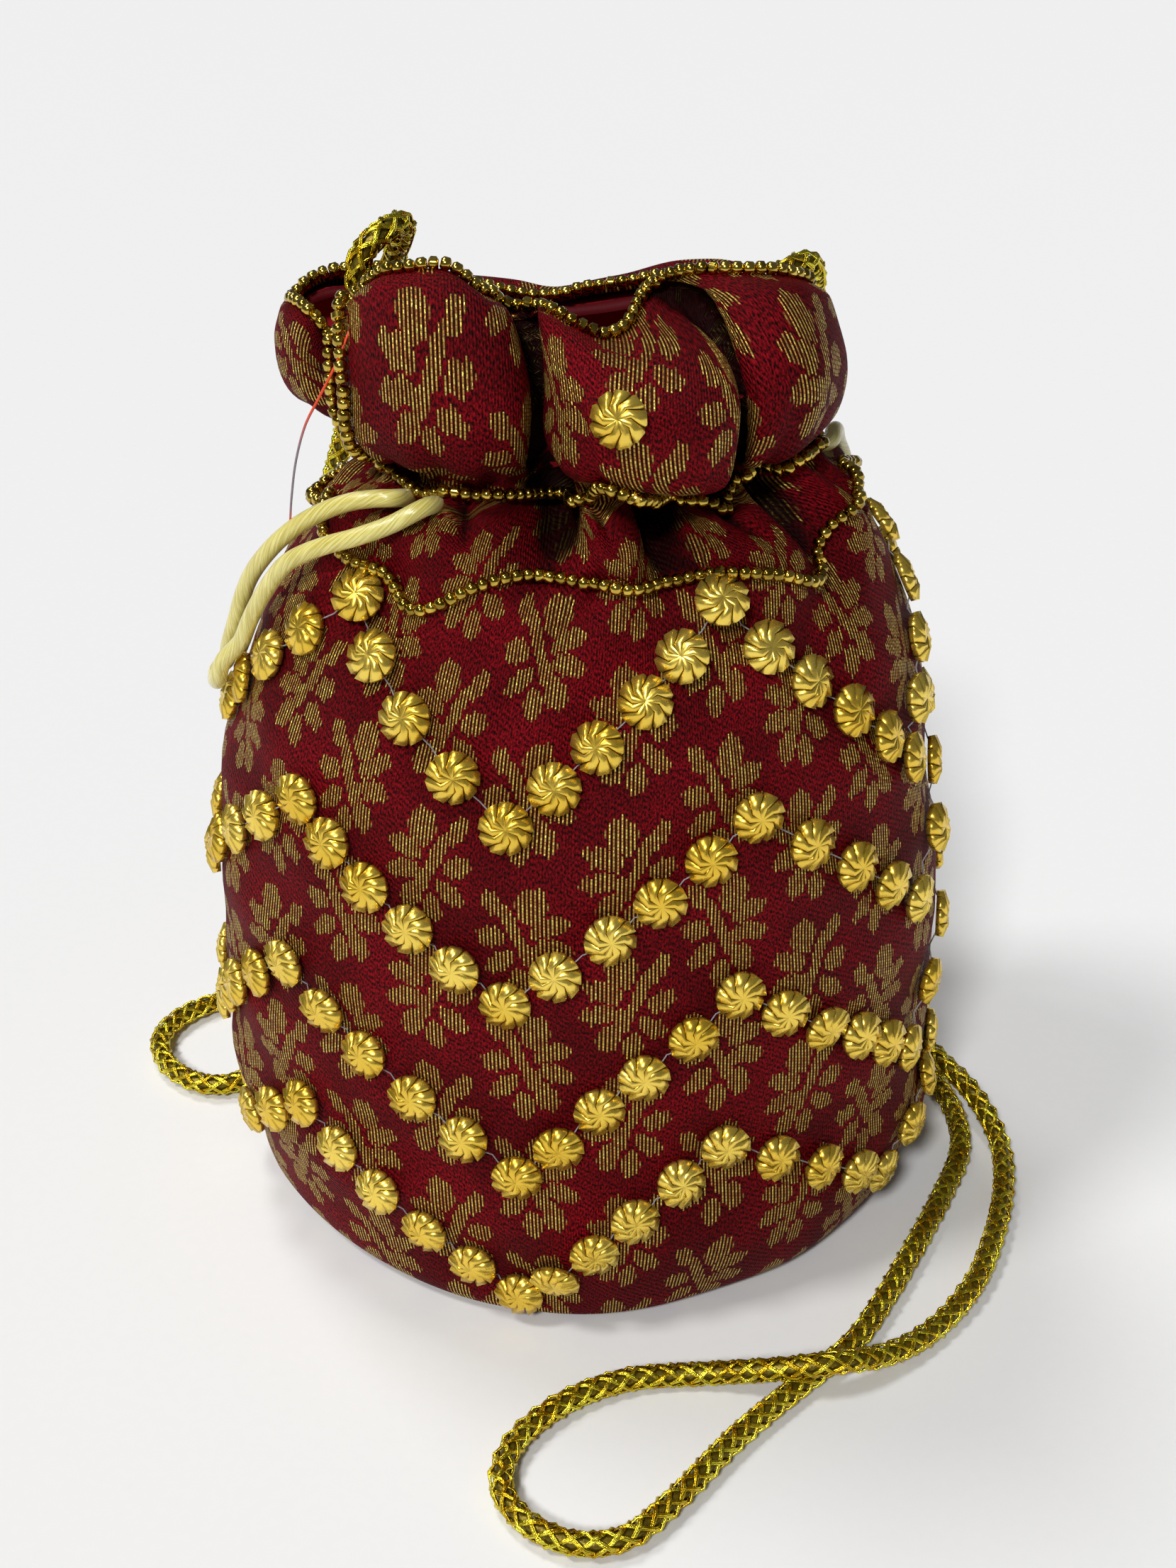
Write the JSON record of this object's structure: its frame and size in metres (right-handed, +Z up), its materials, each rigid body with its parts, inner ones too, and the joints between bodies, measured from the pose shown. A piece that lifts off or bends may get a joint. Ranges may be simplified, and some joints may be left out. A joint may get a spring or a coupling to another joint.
{
  "type": "potli bag",
  "caption": "Round drawstring pouch of maroon brocade with a gathered ruffle mouth, zigzag rows of gold flower beads, seed bead strings, a satin drawstring and a gold cord handle.",
  "frame": {"origin": "centre of the flat base, on the surface that the bag stands on", "axes": "+Z up towards the mouth, -Y towards the front face seen in the picture, +X to the viewer's right"},
  "size_m": [0.1968, 0.1845, 0.2071],
  "materials": {
    "brocade": "maroon silk brocade with woven gold sprigs",
    "lining": "red satin",
    "flower_bead": "gold plated, polished",
    "seed_bead": "antique bronze gold, glossy",
    "satin_cord": "cream satin rattail",
    "handle_cord": "knitted metallic gold yarn"
  },
  "bodies": {
    "root": {"outer_shell": "brocade", "lining": "lining", "flower_row_1": "flower_bead", "flower_row_2": "flower_bead", "flower_row_3": "flower_bead", "flower_row_4": "flower_bead", "ruffle_flower": "flower_bead", "seed_string_rim": "seed_bead", "seed_string_neck": "seed_bead", "seed_string_shoulder": "seed_bead", "drawstring_left": "satin_cord", "drawstring_right": "satin_cord", "handle_cord": "handle_cord"}
  },
  "joints": []
}
